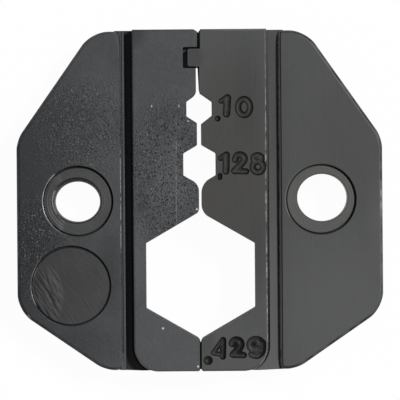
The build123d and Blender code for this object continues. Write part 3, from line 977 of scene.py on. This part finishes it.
class Steel:
    """A steel in the making: its nodes, its shader and its colour so far. Sizes are in millimetres."""

    def __init__(self, name, tones, gloss):
        self.material = bpy.data.materials.new(name)
        self.material.use_nodes = True
        self.tree = self.material.node_tree
        self.shader = self.tree.nodes["Principled BSDF"]
        self.shader.inputs["Specular IOR Level"].default_value = gloss
        place = add_node(self.tree, "TexCoord").outputs
        self.position = enlarge(self.tree, place["Object"], 1 / MM)
        self.normal = place["Normal"]
        self.facing = add_node(self.tree, "SeparateXYZ", {0: self.normal}).outputs
        self.colour = self.effect(OXIDE_TONE, dict(zip(("Deep", "Pale", "Cloud Size"), tones)))["Color"]

    def effect(self, group, values):
        """Places a node group, with its own values."""
        return add_node(self.tree, "Group", {"Position": self.position, **values}, node_tree=group).outputs

    def in_places(self, places, least=0.0):
        """The strongest of several soft patches, and never less than a least amount."""
        total = maths(self.tree, "ADD", least, 0)
        for centre, half_size, edge, amount in places:
            box = {"Centre": (*centre, PLACE_MIDDLE), "Half Size": (*half_size, PLACE_HALF_DEPTH)}
            mask = self.effect(SOFT_PATCH, {**box, "Edge": edge})["Mask"]
            total = maths(self.tree, "MAXIMUM", maths(self.tree, "MULTIPLY", mask, amount), total)
        return total

    def tint(self, share, colour):
        """Mixes another colour in, by its share."""
        self.colour = mix_colour(self.tree, share, self.colour, colour)

    def tint_skin(self, skin, heights, amount, colour):
        """Mixes a colour in between two heights of the skin, fully at the second."""
        self.tint(maths(self.tree, "MULTIPLY", ramp(self.tree, skin, *heights), amount), colour)

    def paint_edge_shade(self, below, above):
        """Paints shade on rounded edges, by how much they face down or up on y."""
        down = ramp(self.tree, self.facing["Y"], start=-0.2, end=-0.55, high=below)
        up = ramp(self.tree, self.facing["Y"], start=0.15, end=0.45, high=above)
        self.tint(maths(self.tree, "MAXIMUM", down, up), SHADE_BLACK)

    def raise_surface(self, height, distance, amount=1.0):
        """Fine relief, as high as the distance."""
        height = maths(self.tree, "MULTIPLY", height, amount)
        bump = add_node(self.tree, "Bump", {"Height": height, "Distance": distance * MM, "Strength": 1})
        self.tree.links.new(bump.outputs[0], self.shader.inputs["Normal"])

    def finish(self, roughness, metallic=0.0):
        """The finished material."""
        for name, value in (("Base Color", self.colour), ("Roughness", roughness), ("Metallic", metallic)):
            feed(self.tree, self.shader.inputs[name], value)
        return self.material

    def finish_worn_and_highlit(self, roughness, gap_size, places, least=0.0):
        """The finished material, with edges that are rubbed bare in places, and painted pale as highlight
        where they face the lamp.
        """
        edge = {"Normal": self.normal, "Gap Size": gap_size, "Amount": self.in_places(places, least)}
        mask = self.effect(WORN_EDGE_AND_HIGHLIGHT, edge)["Mask"]
        self.tint(mask, RUBBED_STEEL_AND_HIGHLIGHT)
        mixed = ramp(self.tree, mask, start=0, end=1, low=roughness, high=RUBBED_ROUGHNESS)
        return self.finish(mixed, maths(self.tree, "MULTIPLY", mask, RUBBED_METALLIC))


def cast_steel():
    """The slotted half's blackened casting skin."""
    steel = Steel("cast black steel", CAST_TONES, gloss=0.25)
    steel.tint(steel.in_places(BRIGHT_ON_SLOTTED), CAST_BRIGHT)
    steel.tint(steel.in_places(DULL_ON_SLOTTED), DULL_BLACK)
    skin = steel.effect(PEBBLED_SKIN, {"Pebble Size": 0.15})["Height"]
    amount = steel.in_places(LEATHERY_PLACES, least=0.14)
    # Painted shade in the pits
    steel.tint_skin(skin, CAST_PIT_SHADE_HEIGHTS, amount, CAST_PIT_SHADE)
    # Painted glints on the pebble tips
    steel.tint_skin(skin, CAST_GLINT_HEIGHTS, amount, CAST_TIP_GLINT)
    # Painted glints
    steel.tint(steel.in_places(GLINTS_ON_SLOTTED), RUBBED_STEEL_AND_HIGHLIGHT)
    # Painted shade on the rounded edges that face down
    steel.paint_edge_shade(below=0.7, above=0.0)
    steel.raise_surface(skin, distance=0.1, amount=amount)
    return steel.finish_worn_and_highlit(roughness=0.5, gap_size=1.0, places=WEAR_AND_HIGHLIGHT_ON_SLOTTED, least=0.06)


def brushed_steel():
    """The tabbed half's finely brushed, blackened steel."""
    steel = Steel("brushed black steel", BRUSHED_TONES, gloss=0.35)
    steel.tint(steel.in_places(WARM_ON_TABBED), BRUSHED_WARM)
    steel.tint(steel.in_places(BRIGHT_ON_TABBED), BRUSHED_BRIGHT)
    # Painted shade along the flange's inner edge, and darker patches
    steel.tint(steel.in_places(SHADE_AND_DARKER_PATCHES_ON_TABBED), DULL_BLACK)
    lines = steel.effect(BRUSHING, {"Spacing": 0.16, "Length": 6.0})
    steel.tint(maths(steel.tree, "MULTIPLY", lines["Scratch"], 0.12), BRUSHED_BRIGHT)
    # Painted shade on the rounded edges that face down or up
    steel.paint_edge_shade(below=1.0, above=0.8)
    steel.raise_surface(lines["Height"], distance=0.005)
    return steel.finish_worn_and_highlit(roughness=0.48, gap_size=0.9, places=WEAR_AND_HIGHLIGHT_ON_TABBED, least=0.12)


def groove_steel(name, tones):
    """The floor of a groove, finely brushed."""
    steel = Steel(name, tones, gloss=0.2)
    steel.tint(steel.in_places(PALE_IN_GROOVE), GROOVE_PALE)
    # Painted shade along the foot of the flange's wall
    steel.tint(steel.in_places(SHADE_IN_GROOVE), SHADE_BLACK)
    steel.raise_surface(steel.effect(BRUSHING, {"Spacing": 0.14, "Length": 5.0})["Height"], distance=0.01)
    return steel.finish(roughness=0.55)


def turned_steel(name, tones, centre_x, rubbed_places):
    """A spot face and hole with the tool's rings round them, and edges rubbed bare and painted as highlight
    in places.
    """
    steel = Steel(name, tones, gloss=0.35)
    rings = steel.effect(TURNING_MARKS, {"Centre": (centre_x, 0, 0), "Pitch": 0.14})["Height"]
    steel.raise_surface(rings, distance=0.05, amount=steel.in_places(RINGED_PLACES, least=0.3))
    return steel.finish_worn_and_highlit(roughness=0.42, gap_size=2.0, places=rubbed_places)


def channel_shade_steel():
    """Steel painted black as shade, at the bottom of the fine channels."""
    return Steel("oily channel", CHANNEL_SHADE_TONES, gloss=0.2).finish(roughness=0.6)


def nest_steel():
    """The walls of the nests, ground along the nest."""
    steel = Steel("ground nest wall", NEST_TONES, gloss=0.12)
    turned = add_node(steel.tree, "Mapping", {"Vector": steel.position, "Rotation": (pi / 2, 0, 0)})
    lines = steel.effect(BRUSHING, {"Position": turned.outputs[0], "Spacing": 0.1, "Length": 6.0})
    steel.raise_surface(lines["Height"], distance=0.015)
    return steel.finish(roughness=0.6)


def stamped_steel():
    """A stamped figure: painted shade blackens its deepest places and its steep walls, most the walls that
    face away from the lamp.
    """
    steel = Steel("stamped figure", FIGURE_TONES, gloss=0.2)
    # Painted shade in the figures' deepest places
    steel.tint(steel.in_places(SHADE_IN_FIGURES), SHADE_BLACK)
    # Painted shade on the steep walls, stronger where they face -x, away from the lamp
    steep = ramp(steel.tree, maths(steel.tree, "ABSOLUTE", steel.facing["Z"]), start=0.96, end=0.7)
    leftward = ramp(steel.tree, steel.facing["X"], start=0.4, end=-0.2, low=0.55)
    steel.tint(maths(steel.tree, "MULTIPLY", steep, leftward), SHADE_BLACK)
    steel.raise_surface(steel.effect(PEBBLED_SKIN, {"Pebble Size": 0.25})["Height"], distance=0.03)
    return steel.finish(roughness=0.5)


def field_steel():
    """The floor of the sunk field: smooth, with slanting wrinkles at its outer side."""
    steel = Steel("sunk field floor", FIELD_TONES, gloss=0.25)
    steel.tint(steel.in_places(DULL_ON_FIELD), DULL_BLACK)
    turn = (0, 0, radians(WRINKLE_DEGREES))
    slant = {"Vector": steel.position, "Rotation": turn, "Scale": WRINKLE_STRETCH}
    turned = add_node(steel.tree, "Mapping", slant, vector_type="TEXTURE").outputs[0]
    skin = steel.effect(PEBBLED_SKIN, {"Position": turned, "Pebble Size": 0.26})["Height"]
    amount = steel.in_places(WRINKLED_PLACES, least=0.08)
    # Painted shade in the wrinkles' pits
    steel.tint_skin(skin, FIELD_PIT_SHADE_HEIGHTS, amount, CAST_PIT_SHADE)
    steel.raise_surface(skin, distance=0.16, amount=amount)
    return steel.finish_worn_and_highlit(roughness=0.5, gap_size=2.0, places=WEAR_AND_HIGHLIGHT_ON_SLOTTED)


# Camera: straight above the pair, 600 mm from the pads, turned by less than half a degree
CAMERA_HEIGHT = PAD_THICKNESS + 600
PIXELS_PER_MM = 10.03
PHOTO_WIDTH = 400
SENSOR = 36
CAMERA_ROLL = -0.44
CAMERA_X = 0.033
CAMERA_Y = 0.02

# Light: one soft key lamp from the upper right, and the room
KEY_STRENGTH = 2.3
KEY_ELEVATION = 66
KEY_AZIMUTH = 28
KEY_WIDTH = 8
ROOM_LEVEL = 0.4

# Table: two metres wide, white, and glowing where it is seen or mirrored, so that it looks evenly lit
TABLE_SIZE = 2
TABLE_COLOUR = (0.8, 0.8, 0.8, 1)
TABLE_ROUGHNESS = 0.9
TABLE_GLOW = 0.97

# The table is this much below the pads, so that the two never show through each other
FLOOR_GAP = 0.01


def add_camera():
    """The photograph's camera."""
    data = bpy.data.cameras.new("camera")
    data.sensor_width = SENSOR
    data.lens = PIXELS_PER_MM * (CAMERA_HEIGHT - PAD_THICKNESS) * SENSOR / PHOTO_WIDTH
    data.clip_start = 0.01
    data.clip_end = 10
    camera = new_object("camera", data)
    camera.location = (CAMERA_X * MM, CAMERA_Y * MM, CAMERA_HEIGHT * MM)
    camera.rotation_euler = (0, 0, radians(CAMERA_ROLL))
    bpy.context.scene.camera = camera


def add_floor():
    """The white table that the die lies on."""
    bpy.ops.object.select_all(action="DESELECT")
    bpy.ops.mesh.primitive_plane_add(size=TABLE_SIZE, location=(0, 0, -FLOOR_GAP * MM))
    floor = bpy.context.object
    floor.name = "table"
    material = bpy.data.materials.new("white table")
    material.use_nodes = True
    tree = material.node_tree
    shader = tree.nodes["Principled BSDF"]
    shader.inputs["Base Color"].default_value = TABLE_COLOUR
    shader.inputs["Roughness"].default_value = TABLE_ROUGHNESS
    glow = add_node(tree, "Emission", {"Strength": 1})
    ray = add_node(tree, "LightPath").outputs
    seen = maths(tree, "MAXIMUM", ray["Is Camera Ray"], ray["Is Glossy Ray"])
    share = maths(tree, "MULTIPLY", maths(tree, "MAXIMUM", seen, ray["Is Transmission Ray"]), TABLE_GLOW)
    mix = add_node(tree, "MixShader", {0: share, 1: shader.outputs[0], 2: glow.outputs[0]})
    tree.links.new(mix.outputs[0], tree.nodes["Material Output"].inputs["Surface"])
    floor.data.materials.append(material)


def add_lights():
    """The key lamp and the even light of the room."""
    data = bpy.data.lights.new("key lamp", "SUN")
    data.energy = KEY_STRENGTH
    data.angle = radians(KEY_WIDTH)
    key = new_object("key lamp", data)
    rise, side = radians(KEY_ELEVATION), radians(KEY_AZIMUTH)
    towards = Vector((cos(rise) * cos(side), cos(rise) * sin(side), sin(rise)))
    key.rotation_euler = towards.to_track_quat("Z", "Y").to_euler()
    world = bpy.data.worlds.new("room")
    world.use_nodes = True
    background = world.node_tree.nodes["Background"].inputs
    background["Color"].default_value = (1, 1, 1, 1)
    background["Strength"].default_value = ROOM_LEVEL
    bpy.context.scene.world = world


bpy.context.scene.view_settings.view_transform = "Standard"
add_camera()
add_floor()
add_lights()

walls = nest_steel()
channel_shade = channel_shade_steel()
floor_of_tabbed = groove_steel("tabbed half's groove floor", TABBED_GROOVE_TONES)
floor_of_slotted = groove_steel("slotted half's groove floor", SLOTTED_GROOVE_SHADE_TONES)
ring_of_tabbed = turned_steel("tabbed half's spot face", TABBED_RING_TONES, HOLE_REACH, [])
ring_of_slotted = turned_steel(
    "slotted half's spot face", SLOTTED_RING_TONES, -HOLE_REACH, WEAR_AND_HIGHLIGHT_ON_SLOTTED)

right = tabbed_die_half(brushed_steel(), walls, floor_of_tabbed, channel_shade, ring_of_tabbed, stamped_steel())
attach(right, "right_half")
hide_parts("right_die_half")

left = slotted_die_half(cast_steel(), walls, floor_of_slotted, channel_shade, ring_of_slotted, field_steel())
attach(left, "left_half")
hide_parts("left_die_half")
